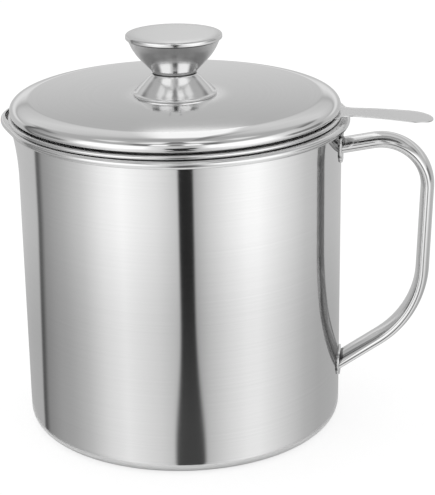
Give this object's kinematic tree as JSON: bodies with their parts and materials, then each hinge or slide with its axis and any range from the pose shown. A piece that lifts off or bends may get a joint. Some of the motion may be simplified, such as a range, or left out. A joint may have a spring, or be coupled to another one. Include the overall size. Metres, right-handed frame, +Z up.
{
  "type": "grease container",
  "caption": "Steel grease container: a cup with pouring lip and tube handle, a lift-out mesh strainer with a finger tab, and a lid with a spool-shaped knob.",
  "frame": {"origin": "centre of the flat ring that the cup stands on", "axes": "+Z up the cup's axis, +X towards the handle and the strainer's tab, -X towards the pouring lip, +Y to the side"},
  "size_m": [0.1611, 0.1262, 0.1488],
  "materials": {
    "cup_steel": "bright satin stainless steel, faintly brushed round the wall",
    "handle_steel": "polished stainless steel tube",
    "strainer_steel": "bright satin stainless steel",
    "mesh_steel": "fine woven stainless steel wire",
    "lid_steel": "bright satin stainless steel",
    "knob_steel": "mirror-polished stainless steel",
    "hardware_steel": "plain turned steel"
  },
  "bodies": {
    "cup": {"cup_shell": "cup_steel", "handle_tube": "handle_steel", "handle_upper_plate": "handle_steel", "handle_lower_plate": "handle_steel"},
    "strainer": {"strainer_rim": "strainer_steel", "strainer_mesh": "mesh_steel"},
    "lid": {"lid_shell": "lid_steel", "knob_skirt": "knob_steel", "knob_bell": "knob_steel", "knob_cap": "knob_steel", "knob_insert": "hardware_steel", "knob_screw": "hardware_steel", "knob_washer": "hardware_steel"}
  },
  "joints": [
    {"name": "strainer_lift", "type": "slide", "parent": "cup", "child": "strainer", "axis": [0, 0, 1], "range_m": [0, 0.05]},
    {"name": "lid_lift", "type": "slide", "parent": "strainer", "child": "lid", "axis": [0, 0, 1], "range_m": [0, 0.03]}
  ]
}
